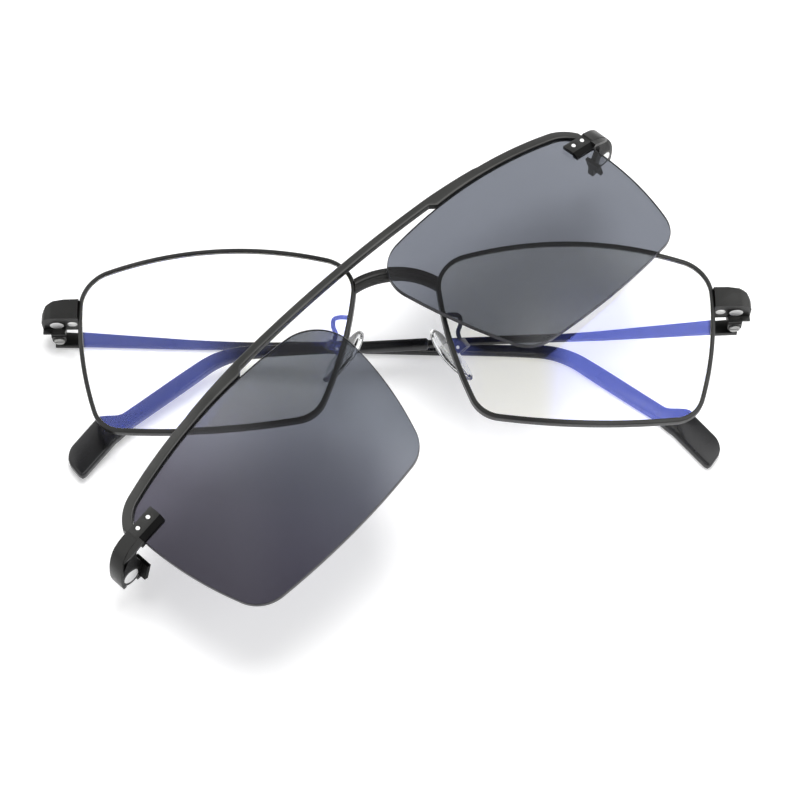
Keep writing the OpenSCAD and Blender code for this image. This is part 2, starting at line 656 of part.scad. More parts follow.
// Bar outline: outer and inner edge points from the temple end to the middle
top_c = clip_form[0][1];
shoulder_c = clip_form[1][1];
function top_edge(u, g) = [u, top_c[0][1] + sqrt(pow(top_c[1] + g, 2) - pow(u - top_c[0][0], 2))];
bar_out = clip_grow + bar_w;
bar_in = clip_grow + seat_gap;
join_x = clip_xyz(top_edge(bar_join_u, bar_out), 0)[0];
join_z = top_edge(bar_join_u, bar_out)[1];
function arch_z(x) = join_z + bar_rise * (1 - pow(x / join_x, 2));
function over_lens(u) = let (p = clip_xyz(top_edge(u, bar_in), 0))
    [[p[0], p[1], arch_z(p[0])], p];
mid_y = clip_xyz(top_edge(bar_step_u, bar_in), 0)[1];
step_x = clip_xyz(top_edge(bar_step_u, bar_in), 0)[0];
function over_nose(x) = [[x, mid_y, arch_z(x)], [x, mid_y, arch_z(x) - bar_mid_w]];
// The bar ends just above the bracket's plate
bar_end_a = asin((plate_z + plate_h + 0.05 - shoulder_c[1]) / (clip_shoulder_r + bar_in));
bar_turn_a = angle_of(shoulder_c - top_c[0]) - bar_end_a;
corner_pairs = [for (j = [0:corner_steps]) let (a = bar_end_a + bar_turn_a * j / corner_steps)
    [clip_xyz(on_circle(shoulder_c, clip_shoulder_r + bar_out, a), 0),
        clip_xyz(on_circle(shoulder_c, clip_shoulder_r + bar_in, a), 0)]];
edge_us = [for (u = stations(bar_join_u + 0.5, corner_arc(clip_form, 1, 0)[corner_steps][0] - 2, 3)) u];
edge_pairs = [for (i = [len(edge_us) - 1:-1:0])
    [clip_xyz(top_edge(edge_us[i], bar_out), 0), clip_xyz(top_edge(edge_us[i], bar_in), 0)]];
lens_pairs = [for (u = [bar_join_u:-3:bar_step_u]) over_lens(u)];
nose_pairs = [for (x = stations(0, step_x - 0.6, 4)) over_nose(x)];
half_bar = concat(corner_pairs, edge_pairs, lens_pairs, [for (i = [len(nose_pairs) - 1:-1:0]) nose_pairs[i]]);
function flip_x(p) = [-p[0], p[1], p[2]];
full_bar = concat(half_bar, [for (i = [len(half_bar) - 2:-1:0]) [flip_x(half_bar[i][0]), flip_x(half_bar[i][1])]]);

module clip_bar() {
    f = -bar_d / 2 - bar_front;
    b = bar_d / 2 - bar_front;
    rings = [for (pr = full_bar) let (o = pr[0], i = pr[1], w = unit(i - o) * bar_soft)
        [o + [0, b - bar_soft, 0], o + w + [0, b, 0], i - w + [0, b, 0], i + [0, b - bar_soft, 0],
            i + [0, f + bar_soft, 0], i - w + [0, f, 0], o + w + [0, f, 0], o + [0, f + bar_soft, 0]]];
    color("#454543") clip_at_rest() skin(rings, false);
}

module clip_lens(side) {
    color("#7b7f8a", 0.75) clip_at_rest() difference() {
        at_lens(side, clip_centre_x, clip_wrap_a) curved_lens(clip_form, clip_grow, clip_base_r, clip_lens_t, 14);
        on_side(side) bracket_rivets(rivet_r + seat_gap);
    }
}

module bracket_rivets(r) {
    for (x = rivet_xs) translate([x, 12, rivet_z]) rotate([90, 0, 0]) cylinder(h = 14, r = r);
}

// The clamp's front plate follows the lens, so its faces are cut from larger spheres
module bracket_plate(front, back) {
    intersection() {
        translate([clip_centre_x, 0, 0]) rotate([0, 0, clip_wrap_a]) difference() {
            translate([0, clip_base_r, 0]) sphere(clip_base_r + clip_lens_t / 2 + front, $fn = sphere_fn);
            translate([0, clip_base_r, 0]) sphere(clip_base_r + clip_lens_t / 2 + back, $fn = sphere_fn);
        }
        translate([plate_in, -2, plate_z]) cube([plate_out - plate_in, 12, plate_h]);
    }
}

// The band's wall stands up along z and is swept along its path
module bracket_band() {
    path = smooth(band_path, 3);
    last = len(path) - 1;
    skin([for (i = [0:last])
        let (p = path[i], q = path[min(i + 1, last)] - path[max(i - 1, 0)], t = unit([q[0], q[1]]),
            n = [t[1], -t[0], 0] * band_t / 2, h = [0, 0, p[3] / 2], c = [p[0], p[1], p[2]])
        [c + n - h, c - n - h, c - n + h, c + n + h]], false);
}

module clip_bracket(side) {
    color("#2c2c2a") clip_at_rest() on_side(side) difference() {
        union() {
            bracket_plate(plate_t + seat_gap, seat_gap);
            bracket_band();
            translate([magnet_x, clip_magnet_y, lug_top - lug_t]) cylinder(h = lug_t, r = lug_r);
            // Hook on the inner side of the lug
            translate([magnet_x - lug_r - 1.1, clip_magnet_y - 1.3, lug_top - lug_t]) cube([0.8, 4.4, lug_t + 0.2]);
            translate([magnet_x - lug_r - 1.1, clip_magnet_y + 2.3, lug_top - lug_t]) cube([2.2, 0.8, lug_t]);
            translate([magnet_x - lug_r - 0.5, clip_magnet_y - 1.1, lug_top - lug_t]) cube([1, 2.2, lug_t]);
        }
        translate([magnet_x, clip_magnet_y, lug_top - lug_t - 1]) cylinder(h = lug_t + 2, r = clip_magnet_r + seat_gap);
        bracket_rivets(rivet_r + seat_gap);
    }
}

module clip_magnet(side) {
    color("#d8d8d8") clip_at_rest() on_side(side) translate([magnet_x, clip_magnet_y, lug_top - lug_t])
        cylinder(h = lug_t, r = clip_magnet_r);
}

module clip_rivets(side) {
    color("#e8e8e6") clip_at_rest() on_side(side) for (x = rivet_xs) {
        y = clip_xyz([x - clip_centre_x, rivet_z], 0)[1];
        translate([x, y + clip_lens_t / 2, rivet_z]) rotate([90, 0, 0])
            cylinder(h = clip_lens_t + plate_t + 0.15, r = rivet_r);
    }
}

lie_down() rim(-1);  // rim_left
lie_down() rim(1);  // rim_right
lie_down() demo_lens(-1);  // demo_lens_left
lie_down() demo_lens(1);  // demo_lens_right
lie_down() bridge();
lie_down() endpiece(-1);  // endpiece_left
lie_down() endpiece(1);  // endpiece_right
lie_down() lock_screw(-1);  // lock_screw_left
lie_down() lock_screw(1);  // lock_screw_right
lie_down() hinge_screw(-1);  // hinge_screw_left
lie_down() hinge_screw(1);  // hinge_screw_right
lie_down() frame_magnet(-1);  // frame_magnet_left
lie_down() frame_magnet(1);  // frame_magnet_right
lie_down() pad_arm(-1);  // pad_arm_left
lie_down() pad_arm(1);  // pad_arm_right
lie_down() pad_pin(-1);  // pad_pin_left
lie_down() pad_pin(1);  // pad_pin_right
lie_down() nose_pad(-1);  // nose_pad_left
lie_down() nose_pad(1);  // nose_pad_right
lie_down() temple_arm(-1);  // temple_arm_left
lie_down() temple_arm(1);  // temple_arm_right
lie_down() temple_tip(-1);  // temple_tip_left
lie_down() temple_tip(1);  // temple_tip_right
lie_down() clip_bar();
lie_down() clip_lens(-1);  // clip_lens_left
lie_down() clip_lens(1);  // clip_lens_right
lie_down() clip_bracket(-1);  // clip_bracket_left
lie_down() clip_bracket(1);  // clip_bracket_right
lie_down() clip_magnet(-1);  // clip_magnet_left
lie_down() clip_magnet(1);  // clip_magnet_right
lie_down() clip_rivets(-1);  // clip_rivets_left
lie_down() clip_rivets(1);  // clip_rivets_right
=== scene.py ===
import math

import bmesh
import bpy
from mathutils import Matrix, Vector

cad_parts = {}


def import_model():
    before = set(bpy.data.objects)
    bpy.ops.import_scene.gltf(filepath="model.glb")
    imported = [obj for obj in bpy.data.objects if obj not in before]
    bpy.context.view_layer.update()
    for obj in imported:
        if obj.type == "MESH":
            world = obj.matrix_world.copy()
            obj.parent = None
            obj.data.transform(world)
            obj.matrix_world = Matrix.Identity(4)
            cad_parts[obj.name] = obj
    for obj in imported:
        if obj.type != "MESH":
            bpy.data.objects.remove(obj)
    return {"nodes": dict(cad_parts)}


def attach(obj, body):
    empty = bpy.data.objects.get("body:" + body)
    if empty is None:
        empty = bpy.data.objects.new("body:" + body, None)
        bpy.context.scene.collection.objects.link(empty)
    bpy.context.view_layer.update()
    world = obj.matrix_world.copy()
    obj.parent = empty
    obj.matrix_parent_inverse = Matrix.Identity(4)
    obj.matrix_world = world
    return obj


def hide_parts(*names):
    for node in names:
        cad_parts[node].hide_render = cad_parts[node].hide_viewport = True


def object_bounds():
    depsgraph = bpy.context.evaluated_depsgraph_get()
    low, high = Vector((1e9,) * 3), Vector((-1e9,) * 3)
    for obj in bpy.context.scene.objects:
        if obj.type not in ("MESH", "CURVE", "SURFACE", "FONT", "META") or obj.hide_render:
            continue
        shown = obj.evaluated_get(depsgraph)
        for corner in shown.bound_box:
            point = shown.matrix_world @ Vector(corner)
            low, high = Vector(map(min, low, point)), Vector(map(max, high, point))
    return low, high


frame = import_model()
cad_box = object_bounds()

MM = 0.001
CAD_MESHES = {name: ob.data for name, ob in frame["nodes"].items()}

# Sizes of the part in millimetres, as worn: x across the face, y back to the ears, z up
LENS_TOP_W, LENS_BOTTOM_W, LENS_SHIFT, LENS_CORNER_H = 54.5, 42.3, 1.6, 32.2
TOP_BOW, BOTTOM_BOW, SIDE_BOW = 3.9, 2.1, 1.8
UPPER_R, LOWER_R = 6.8, 6.4
LENS_X, BASE_R, WRAP, LENS_T, LENS_INSET = 35.7, 120.0, 4.7, 1.0, 0.25
RIM_W, RIM_D = 1.2, 2.1
LENS_CORNER_X = LENS_X + LENS_TOP_W / 2
HINGE = (LENS_CORNER_X + 4.85, 11.0, 6.5)
LEAN, RIGHT_DROOP, LEFT_DROOP, RIGHT_FOLD, LEFT_FOLD = 6.0, 2.4, -0.8, -0.3, 6.5
ARM_MID, TIP_T, TIP_H, TIP_BEND_H = 2.6, 2.0, 2.1, 3.3
SLEEVE_S, BEND_S, BEND_R, BEND_A, TEMPLE_L = 61.5, 97.5, 16.0, 36.0, 141.0
PADDLE_RISE, PADDLE_FALL, PADDLE_SINK, PADDLE_S, PADDLE_TURN, TIP_END_R = 2.6, 0.5, 2.6, 126.0, 5.0, 3.0
PAD_L, PAD_W, PAD_T, PAD_PIN_BACK = 13.0, 6.8, 1.7, 2.7
CLIP_X, CLIP_R, CLIP_WRAP, CLIP_T, CLIP_GROW = LENS_X + 0.2, 140.0, 5.8, 1.0, 1.2
CLIP_MOVES = ((-0.4, -0.4), (-0.45, -2.35), (-0.25, 1.35), (0.0, -0.3))
CLIP_TOP_BOW, CLIP_BOTTOM_BOW = 2.5, BOTTOM_BOW - 0.2
CLIP_SHOULDER_R, CLIP_INNER_R = 5.2, UPPER_R + 0.7
CLIP_PLACE, CLIP_YAW, CLIP_LEAN, CLIP_ROLL = (2.5, -5.5, -4.7), 0.3, -9, -45.5
BAR_W, BAR_MID_W, BAR_D, BAR_RISE, BAR_FRONT = 2.2, 1.75, 1.8, 2.45, 0.3
BAR_JOIN_U, BAR_STEP_U, BAR_END_Z = 4.0, -8.6, 11.95


def turn(axis, degrees):
    return Matrix.Rotation(math.radians(degrees), 4, axis)


def shift(x, y, z):
    return Matrix.Translation((x, y, z))


LIE = (turn("X", -90) @ shift(-HINGE[0], -(ARM_MID + TIP_T / 2), 0) @ turn("Z", -LEFT_FOLD)
       @ turn("X", LEAN) @ turn("Y", -LEFT_DROOP) @ shift(HINGE[0], -HINGE[1], -HINGE[2]))
CLIP_REST = (LIE @ shift(*CLIP_PLACE) @ turn("Z", CLIP_YAW) @ turn("X", CLIP_LEAN)
             @ turn("Y", CLIP_ROLL))
MIRROR = Matrix.Diagonal((-1, 1, 1, 1))


def on_side(side):
    return Matrix.Identity(4) if side > 0 else MIRROR


def folded(side):
    """The placement that carries a temple from its own line to its folded place."""
    droop, fold = (RIGHT_DROOP, RIGHT_FOLD) if side > 0 else (LEFT_DROOP, LEFT_FOLD)
    left = (shift(-HINGE[0], HINGE[1], HINGE[2]) @ turn("Y", droop) @ turn("X", -LEAN)
            @ turn("Z", fold))
    return LIE @ on_side(-side) @ left


# Lens outline, as in the part's source

CORNER_STEPS, SIDE_STEPS = 20, 26
FINE_CORNER_STEPS, FINE_SIDE_STEPS = 60, 80


def bow_circle(a, b, bow):
    """Centre and radius of the circle through a and b that bows out between them."""
    d = b - a
    t = d.normalized()
    r = (d.length ** 2 / 4 + bow * bow) / (2 * bow)
    return (a + b) / 2 + Vector((t.y, -t.x)) * (bow - r), r


def corner_centre(c1, c2, r, near):
    """Centre of the circle of radius r that touches two edges' circles from inside."""
    a1, a2 = c1[1] - r, c2[1] - r
    d = c2[0] - c1[0]
    e = d.normalized()
    x = (a1 * a1 - a2 * a2 + d.length ** 2) / (2 * d.length)
    y = math.sqrt(max(0.0, a1 * a1 - x * x))
    f = Vector((-e.y, e.x))
    p, q = c1[0] + e * x + f * y, c1[0] + e * x - f * y
    return p if (p - near).length < (q - near).length else q


CORNER_DZ = (BOTTOM_BOW - TOP_BOW) / 2
CORNERS = [Vector(c) for c in (
    (LENS_SHIFT + LENS_BOTTOM_W / 2, CORNER_DZ - LENS_CORNER_H / 2),
    (LENS_TOP_W / 2, CORNER_DZ + LENS_CORNER_H / 2),
    (-LENS_TOP_W / 2, CORNER_DZ + LENS_CORNER_H / 2),
    (LENS_SHIFT - LENS_BOTTOM_W / 2, CORNER_DZ - LENS_CORNER_H / 2))]


def make_form(points, bows, radii):
    """An outline, as the circles of its edges, and the centres and radii of its corners."""
    circles = [bow_circle(points[i], points[(i + 1) % 4], bows[i]) for i in range(4)]
    centres = [corner_centre(circles[i - 1], circles[i], radii[i], points[i]) for i in range(4)]
    return circles, centres, radii


RIM_FORM = make_form(CORNERS, (SIDE_BOW, TOP_BOW, SIDE_BOW, BOTTOM_BOW),
                     (LOWER_R, UPPER_R, UPPER_R, LOWER_R))
CLIP_FORM = make_form([c + Vector(m) for c, m in zip(CORNERS, CLIP_MOVES)],
                      (SIDE_BOW, CLIP_TOP_BOW, SIDE_BOW, CLIP_BOTTOM_BOW),
                      (LOWER_R, CLIP_SHOULDER_R, CLIP_INNER_R, LOWER_R))


def angle(v):
    return math.atan2(v.y, v.x)


def arc(centre, r, a, b, n):
    """Points from angle a the short way towards angle b, without the last one."""
    d = (b - a + math.pi) % (2 * math.pi) - math.pi
    return [centre + r * Vector((math.cos(a + d * j / n), math.sin(a + d * j / n))) for j in range(n)]


def outline(form, grow, corner_n=CORNER_STEPS, side_n=SIDE_STEPS):
    """The form as one closed row of points, grown outwards."""
    circles, centres, radii = form
    points = []
    for i in range(4):
        k, before, after = centres[i], circles[i - 1], circles[i]
        points += arc(k, radii[i] + grow, angle(k - before[0]), angle(k - after[0]), corner_n)
        following = angle(centres[(i + 1) % 4] - after[0])
        points += arc(after[0], after[1] + grow, angle(k - after[0]), following, side_n)
    return points


def sag(r, p):
    """How far back a sphere of radius r lies at p, from its foremost point."""
    return r - math.sqrt(r * r - p.x * p.x - p.y * p.y)


# Mesh helpers

# Weld distances in metres, angles in degrees
WELD, CAD_WELD = 1e-7, 2e-7
FLAT_ANGLE, SHARP_ANGLE, DRESSED_SMOOTH = 0.6, 32.0, 40
ROUNDING_SHARE = 0.98


def add_object(name, mesh, body, replaces=()):
    ob = bpy.data.objects.new(name, mesh)
    bpy.context.scene.collection.objects.link(ob)
    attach(ob, body)
    if replaces:
        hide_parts(*replaces)
    return ob


def keep_inside(bm):
    """Moves points that rounding has left outside the CAD box back onto it."""
    for v in bm.verts:
        v.co = [min(max(c, low), high) for c, low, high in zip(v.co, *cad_box)]


def to_mesh(name, points, faces, matrix, sharp):
    mesh = bpy.data.meshes.new(name)
    mesh.from_pydata([(matrix @ Vector(p)) * MM for p in points], [], faces)
    bm = bmesh.new()
    bm.from_mesh(mesh)
    bmesh.ops.remove_doubles(bm, verts=bm.verts, dist=WELD)
    bmesh.ops.recalc_face_normals(bm, faces=bm.faces)
    keep_inside(bm)
    bm.to_mesh(mesh)
    bm.free()
    smooth_by_angle(mesh, sharp)
    return mesh


def smooth_by_angle(mesh, degrees):
    mesh.polygons.foreach_set("use_smooth", [True] * len(mesh.polygons))
    mesh.set_sharp_from_angle(angle=math.radians(degrees))
    mesh.update()


def loft(rings, closed):
    """Points and faces of a tube through rings of points."""
    n, m = len(rings), len(rings[0])
    points = [p for r in rings for p in r]
    spans = n if closed else n - 1
    faces = [(i * m + j, i * m + (j + 1) % m, (i + 1) % n * m + (j + 1) % m, (i + 1) % n * m + j)
             for i in range(spans) for j in range(m)]
    if not closed:
        faces += [tuple(range(m - 1, -1, -1)), tuple(range((n - 1) * m, n * m))]
    return points, faces


def rounded_rect(w, low, high, r, n):
    """Section points, counter clockwise, of a rectangle w wide from low to high."""
    points = []
    r = min(r, w / 2 * ROUNDING_SHARE, (high - low) / 2 * ROUNDING_SHARE)
    for cx, cy, a0 in ((w / 2 - r, high - r, 0), (-w / 2 + r, high - r, 90),
                       (-w / 2 + r, low + r, 180), (w / 2 - r, low + r, 270)):
        for k in range(n + 1):
            a = math.radians(a0 + 90 * k / n)
            points.append((cx + r * math.cos(a), cy + r * math.sin(a)))
    return points


def dress(node, body, width, segments=3, sharp=SHARP_ANGLE, stay=None):
    """Puts a copy of a CAD node, with its sharp edges rounded, in the node's place.

    An edge with both ends where stay says so keeps its form.
    """
    mesh = CAD_MESHES[node].copy()
    mesh.materials.clear()
    bm = bmesh.new()
    bm.from_mesh(mesh)
    bmesh.ops.remove_doubles(bm, verts=bm.verts, dist=CAD_WELD)
    bmesh.ops.dissolve_limit(bm, angle_limit=math.radians(FLAT_ANGLE), verts=bm.verts,
                             edges=bm.edges)
    bmesh.ops.recalc_face_normals(bm, faces=bm.faces)
    edges = [e for e in bm.edges
             if len(e.link_faces) == 2 and e.calc_face_angle(0) > math.radians(sharp)]
    if stay:
        edges = [e for e in edges if not all(stay(v.co) for v in e.verts)]
    bmesh.ops.bevel(bm, geom=edges, offset=width * MM, segments=segments, profile=0.5,
                    affect="EDGES", clamp_overlap=True, harden_normals=False)
    bmesh.ops.recalc_face_normals(bm, faces=bm.faces)
    keep_inside(bm)
    mesh.clear_geometry()
    bm.to_mesh(mesh)
    bm.free()
    smooth_by_angle(mesh, DRESSED_SMOOTH)
    return add_object(node + "_shape", mesh, body, [node])


# Materials

NOISE_ROUGHNESS, NOISE_LOW, NOISE_HIGH = 0.5, 0.3, 0.7
METAL_CLOUD, METAL_GRAIN = (90.0, 4.0), (2200.0, 2.0)
PLASTIC_CLOUD, PLASTIC_WEAR, PLASTIC_WAVE = (60.0, 5.0), (260.0, 1.0), (160.0, 1.0)
GLASS_HAZE, FLOOR_CLOUD = (160.0, 2.0), (3.0, 2.0)
BUMP_HEIGHT = 0.0002


class Nodes:
    """Short calls for building a material's nodes."""

    def __init__(self, name):
        self.mat = bpy.data.materials.new(name)
        self.mat.use_nodes = True
        self.tree = self.mat.node_tree
        self.tree.nodes.clear()
        self.out = self.add("ShaderNodeOutputMaterial")

    def add(self, kind, **values):
        node = self.tree.nodes.new(kind)
        for k, v in values.items():
            setattr(node, k, v)
        return node

    def link(self, a, b):
        self.tree.links.new(a, b)

    def principled(self, **values):
        node = self.add("ShaderNodeBsdfPrincipled")
        for k, v in values.items():
            node.inputs[k.replace("_", " ")].default_value = v
        return node

    def noise(self, scale, detail):
        coords = self.add("ShaderNodeTexCoord")
        node = self.add("ShaderNodeTexNoise")
        node.inputs["Scale"].default_value = scale
        node.inputs["Detail"].default_value = detail
        node.inputs["Roughness"].default_value = NOISE_ROUGHNESS
        self.link(coords.outputs["Object"], node.inputs["Vector"])
        return node.outputs["Fac"]

    def ramp(self, value, stops):
        node = self.add("ShaderNodeValToRGB")
        ramp = node.color_ramp
        for i, (place, colour) in enumerate(stops):
            element = ramp.elements[i] if i < 2 else ramp.elements.new(place)
            element.position = place
            element.color = (*colour, 1.0)
        self.link(value, node.inputs["Fac"])
        return node.outputs["Color"]

    def span(self, value, low, high):
        node = self.add("ShaderNodeMapRange")
        node.inputs["From Min"].default_value = NOISE_LOW
        node.inputs["From Max"].default_value = NOISE_HIGH
        node.inputs["To Min"].default_value = low
        node.inputs["To Max"].default_value = high
        self.link(value, node.inputs["Value"])
        return node.outputs["Result"]

    def bump(self, value, strength, shader):
        node = self.add("ShaderNodeBump")
        node.inputs["Strength"].default_value = strength
        node.inputs["Distance"].default_value = BUMP_HEIGHT
        self.link(value, node.inputs["Height"])
        self.link(node.outputs["Normal"], shader.inputs["Normal"])

    def finish(self, shader):
        self.link(shader.outputs[0], self.out.inputs["Surface"])
        return self.mat


def metal(name, dark, light, rough, metallic, bump=0.02, coat=0.0):
    n = Nodes(name)
    shader = n.principled(Metallic=metallic, Coat_Weight=coat, Coat_Roughness=0.15)
    colour = n.ramp(n.noise(*METAL_CLOUD), [(NOISE_LOW, dark), (NOISE_HIGH, light)])
    n.link(colour, shader.inputs["Base Color"])
    n.link(n.span(n.noise(*METAL_GRAIN), rough - 0.05, rough + 0.06), shader.inputs["Roughness"])
    n.bump(n.noise(*METAL_GRAIN), bump, shader)
    return n.finish(shader)


def plastic(name, dark, light, rough, bump=0.02):
    n = Nodes(name)
    shader = n.principled(IOR=1.45, Specular_IOR_Level=0.3, Coat_Weight=0.12, Coat_Roughness=0.06)
    colour = n.ramp(n.noise(*PLASTIC_CLOUD), [(0.35, dark), (0.65, light)])
    n.link(colour, shader.inputs["Base Color"])
    n.link(n.span(n.noise(*PLASTIC_WEAR), rough - 0.02, rough + 0.03), shader.inputs["Roughness"])
    n.bump(n.noise(*PLASTIC_WAVE), bump, shader)
    return n.finish(shader)


def glass(name, stops, ior, tint, rough, shadow, axis=(0, 1, 0), span=(-0.02, 0.02)):
    """Clear or tinted plastic, coloured by stops along an axis, that lets lamps through."""
    n = Nodes(name)
    shader = n.principled(IOR=ior, Transmission_Weight=1.0)
    shader.inputs["Specular Tint"].default_value = (*tint, 1.0)
    coords = n.add("ShaderNodeTexCoord")
    dot = n.add("ShaderNodeVectorMath", operation="DOT_PRODUCT")
    dot.inputs[1].default_value = axis
    n.link(coords.outputs["Object"], dot.inputs[0])
    place = n.add("ShaderNodeMapRange")
    place.inputs["From Min"].default_value = span[0]
    place.inputs["From Max"].default_value = span[1]
    n.link(dot.outputs["Value"], place.inputs["Value"])
    n.link(n.ramp(place.outputs["Result"], stops), shader.inputs["Base Color"])
    shader.inputs["Roughness"].default_value = rough
    if rough:
        n.link(n.span(n.noise(*GLASS_HAZE), rough, rough + 0.03), shader.inputs["Roughness"])
    through = n.add("ShaderNodeBsdfTransparent")
    through.inputs["Color"].default_value = (*shadow, 1.0)
    rays = n.add("ShaderNodeLightPath")
    mix = n.add("ShaderNodeMixShader")
    n.link(rays.outputs["Is Shadow Ray"], mix.inputs["Fac"])
    n.link(shader.outputs[0], mix.inputs[1])
    n.link(through.outputs[0], mix.inputs[2])
    return n.finish(mix)


DARK_METAL = metal("gunmetal", (0.018, 0.018, 0.0175), (0.032, 0.032, 0.031), rough=0.36,
                   metallic=0.8, coat=0.06)
BAR_METAL = metal("graphite", (0.030, 0.030, 0.029), (0.050, 0.050, 0.048), rough=0.38,
                  metallic=0.8, coat=0.05)
BRIGHT = metal("bright steel", (0.78, 0.78, 0.77), (0.92, 0.92, 0.91), rough=0.42, metallic=0.7,
               bump=0.01)
# A near-black copy of the gunmetal for the clamp lips and the lug and hook plates. Its darkness is
# painted shade on faces that turn down and away from the light, not a different metal.
SHADED_GUNMETAL = metal("lip", (0.004, 0.004, 0.004), (0.008, 0.008, 0.008), rough=0.5, metallic=1.0)
DULL = metal("dull steel", (0.20, 0.20, 0.195), (0.42, 0.42, 0.41), rough=0.34, metallic=0.9)
NICKEL = metal("plated disc", (0.78, 0.78, 0.78), (0.95, 0.95, 0.95), rough=0.55, metallic=0.45,
               bump=0.05)
BLACK_TIP = plastic("black tip", (0.006, 0.006, 0.007), (0.012, 0.012, 0.013), rough=0.2)
CLEAR_LENS = glass("coated lens", [(0.0, (0.93, 0.935, 1.0)), (1.0, (0.94, 0.945, 1.0))],
                   ior=1.9, tint=(0.20, 0.26, 1.0), rough=0.0, shadow=(0.94, 0.94, 0.96))
# Colour stops of the grey lens along one axis across both clip lenses, darker towards the lower edge of
# the lens that lies lower. This is partly a tint gradient and partly painted shade of the floor's
# shadow under that end.
GREY_TINT_AND_SHADE_STOPS = [(0.04, (0.062, 0.057, 0.079)), (0.22, (0.100, 0.097, 0.125)),
              (0.40, (0.135, 0.140, 0.170)), (0.60, (0.150, 0.162, 0.190)),
              (1.0, (0.157, 0.168, 0.197))]
GREY_LENS = glass("grey lens", GREY_TINT_AND_SHADE_STOPS, ior=1.3, tint=(1.0, 1.0, 1.0), rough=0.0,
                  shadow=(0.30, 0.30, 0.32), axis=(0.55, 0.835, 0), span=(-0.075, 0.0))
GREY_EDGE = plastic("grey lens edge", (0.020, 0.020, 0.024), (0.035, 0.035, 0.040), rough=0.3)
CLEAR_PAD = glass("clear pad", [(0.0, (0.93, 0.94, 0.94)), (1.0, (0.96, 0.97, 0.97))],
                  ior=1.41, tint=(1, 1, 1), rough=0.05, shadow=(0.85, 0.86, 0.87))
INSERT = metal("pad insert", (0.74, 0.74, 0.73), (0.90, 0.90, 0.89), rough=0.45, metallic=0.6)


def paint(ob, material):
    ob.data.materials.clear()
    ob.data.materials.append(material)
    return ob


# Rims and lenses

RIM_OFFSET, RIM_TRIM_W, RIM_TRIM_D, RIM_ROUND = 0.15, 0.31, 0.1, 0.3
RIM_SECTION = [(n + RIM_OFFSET, d) for n, d in rounded_rect(
    RIM_W - RIM_TRIM_W, -RIM_D / 2 + RIM_TRIM_D, RIM_D / 2 - RIM_TRIM_D, RIM_ROUND, 5)]
NEAR_RIM = 0.15
LENS_CHAMFER, LENS_RINGS = 0.12, 22
DEMO_GROW, CLIP_LENS_GROW = 0.05 - LENS_INSET, CLIP_GROW - 0.06
EDGE_COSINE = 0.85


def at_lens(side, centre_x, wrap):
    return on_side(side) @ shift(centre_x, 0, 0) @ turn("Z", wrap)


def near_rim(side):
    """A test for points that lie against the outside of a rim."""
    line = outline(RIM_FORM, RIM_W / 2, FINE_CORNER_STEPS, FINE_SIDE_STEPS)
    back = (LIE @ at_lens(side, LENS_X, WRAP)).inverted()

    def test(co):
        p = back @ (co / MM)
        return min((q - Vector((p.x, p.z))).length for q in line) < NEAR_RIM

    return test


def rim(side, label):
    lines = [outline(RIM_FORM, n) for n, _ in RIM_SECTION]
    rings = []
    for i in range(len(lines[0])):
        rings.append([(lines[j][i].x, sag(BASE_R, lines[j][i]) + d, lines[j][i].y)
                      for j, (_, d) in enumerate(RIM_SECTION)])
    points, faces = loft(rings, True)
    mesh = to_mesh("rim_" + label, points, faces, LIE @ at_lens(side, LENS_X, WRAP), sharp=50)
    ob = add_object("rim_wire_" + label, mesh, "front", ["rim_" + label])
    paint(ob, DARK_METAL)


def lens_mesh(name, matrix, form, grow, r, t):
    """A lens with its faces on two spheres round one centre, and a chamfer at the edge."""
    def height(p, face, pull):
        radius = r + face * (t / 2 - pull)
        return r - math.sqrt(radius * radius - p.x * p.x - p.y * p.y)

    full = outline(form, grow)
    inner = outline(form, grow - LENS_CHAMFER)
    m = len(full)
    points, faces = [], []
    for face in (1, -1):
        base = len(points)
        points.append((0.0, height(Vector((0, 0)), face, 0), 0.0))
        for k in range(1, LENS_RINGS + 1):
            for p in inner:
                q = p * (k / LENS_RINGS)
                points.append((q.x, height(q, face, 0), q.y))
        for j in range(m):
            faces.append((base, base + 1 + j, base + 1 + (j + 1) % m))
        for k in range(LENS_RINGS - 1):
            a = base + 1 + k * m
            faces += [(a + j, a + m + j, a + m + (j + 1) % m, a + (j + 1) % m) for j in range(m)]
    front_edge = 1 + (LENS_RINGS - 1) * m
    back_edge = front_edge + 1 + LENS_RINGS * m
    side_a = len(points)
    points += [(p.x, height(p, 1, LENS_CHAMFER), p.y) for p in full]
    side_b = len(points)
    points += [(p.x, height(p, -1, LENS_CHAMFER), p.y) for p in full]
    for a, b in ((front_edge, side_a), (side_a, side_b), (side_b, back_edge)):
        faces += [(a + j, b + j, b + (j + 1) % m, a + (j + 1) % m) for j in range(m)]
    return to_mesh(name, points, faces, matrix, sharp=30)


def demo_lens(side, label):
    matrix = LIE @ at_lens(side, LENS_X, WRAP)
    mesh = lens_mesh("demo_lens_" + label, matrix, RIM_FORM, DEMO_GROW, BASE_R, LENS_T)
    ob = add_object("demo_lens_glass_" + label, mesh, "front", ["demo_lens_" + label])
    paint(ob, CLEAR_LENS)


def clip_lens(side, label):
    matrix = CLIP_REST @ at_lens(side, CLIP_X, CLIP_WRAP)
    mesh = lens_mesh("clip_lens_" + label, matrix, CLIP_FORM, CLIP_LENS_GROW, CLIP_R, CLIP_T)
    ob = add_object("clip_lens_glass_" + label, mesh, "clip", ["clip_lens_" + label])
    paint(ob, GREY_LENS)
    mesh.materials.append(GREY_EDGE)
    along = (matrix.to_3x3() @ Vector((0, 1, 0))).normalized()
    for face in mesh.polygons:
        face.material_index = 1 if abs(face.normal.dot(along)) < EDGE_COSINE else 0


# Clip bar

